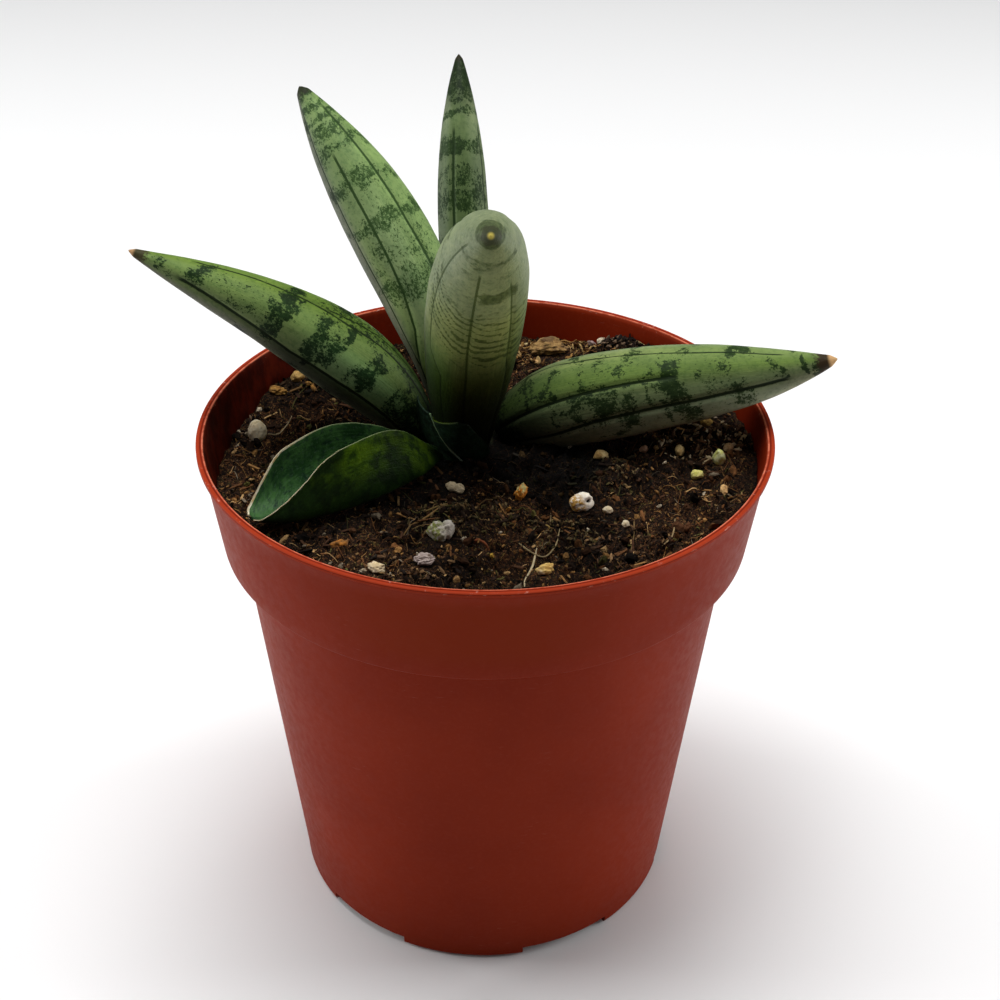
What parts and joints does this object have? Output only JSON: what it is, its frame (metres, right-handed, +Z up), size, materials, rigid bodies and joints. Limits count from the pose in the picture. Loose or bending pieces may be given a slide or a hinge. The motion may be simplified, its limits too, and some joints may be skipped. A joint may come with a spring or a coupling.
{
  "type": "potted cylindrical snake plant",
  "caption": "Young cylindrical snake plant, thick tapering banded leaves fanning from a short stem, in a thin terracotta-coloured plastic nursery pot filled with peat mix",
  "frame": {"origin": "centre of the pot's flat underside, on the surface it stands on", "axes": "+Z up along the pot's axis; -Y towards the leaf that leans forward; +X towards the leaf that lies over the rim on the right"},
  "size_m": [0.1239, 0.111, 0.1522],
  "materials": {
    "pot_plastic": "satin moulded terracotta-coloured plastic",
    "potting_mix": "moist dark peat and coir with fine fibres",
    "stem": "waxy plant tissue",
    "leaf_skin": "waxy skin, pale green with dark mottled cross bands",
    "folded_leaf": "glossy dark green with a thin cream margin",
    "perlite": "matt, porous, off-white",
    "bark": "matt, fibrous, tan",
    "pumice": "matt, rough, grey with a green cast"
  },
  "bodies": {
    "root": {"nursery_pot": "pot_plastic", "potting_mix": "potting_mix", "stem_base": "stem", "leaf_left": "leaf_skin", "leaf_back_left": "leaf_skin", "leaf_back": "leaf_skin", "leaf_front": "leaf_skin", "leaf_right": "leaf_skin", "leaf_folded": "folded_leaf", "perlite_grain_01": "perlite", "perlite_grain_02": "perlite", "perlite_grain_03": "perlite", "perlite_grain_04": "perlite", "perlite_grain_05": "perlite", "perlite_grain_06": "perlite", "perlite_grain_07": "perlite", "perlite_grain_08": "perlite", "perlite_grain_09": "perlite", "perlite_grain_10": "perlite", "perlite_grain_11": "perlite", "perlite_grain_12": "perlite", "perlite_grain_13": "perlite", "bark_chip_01": "bark", "bark_chip_02": "bark", "bark_chip_03": "bark", "bark_chip_04": "bark", "bark_chip_05": "bark", "bark_chip_06": "bark", "pumice_chunk": "pumice"}
  },
  "joints": []
}
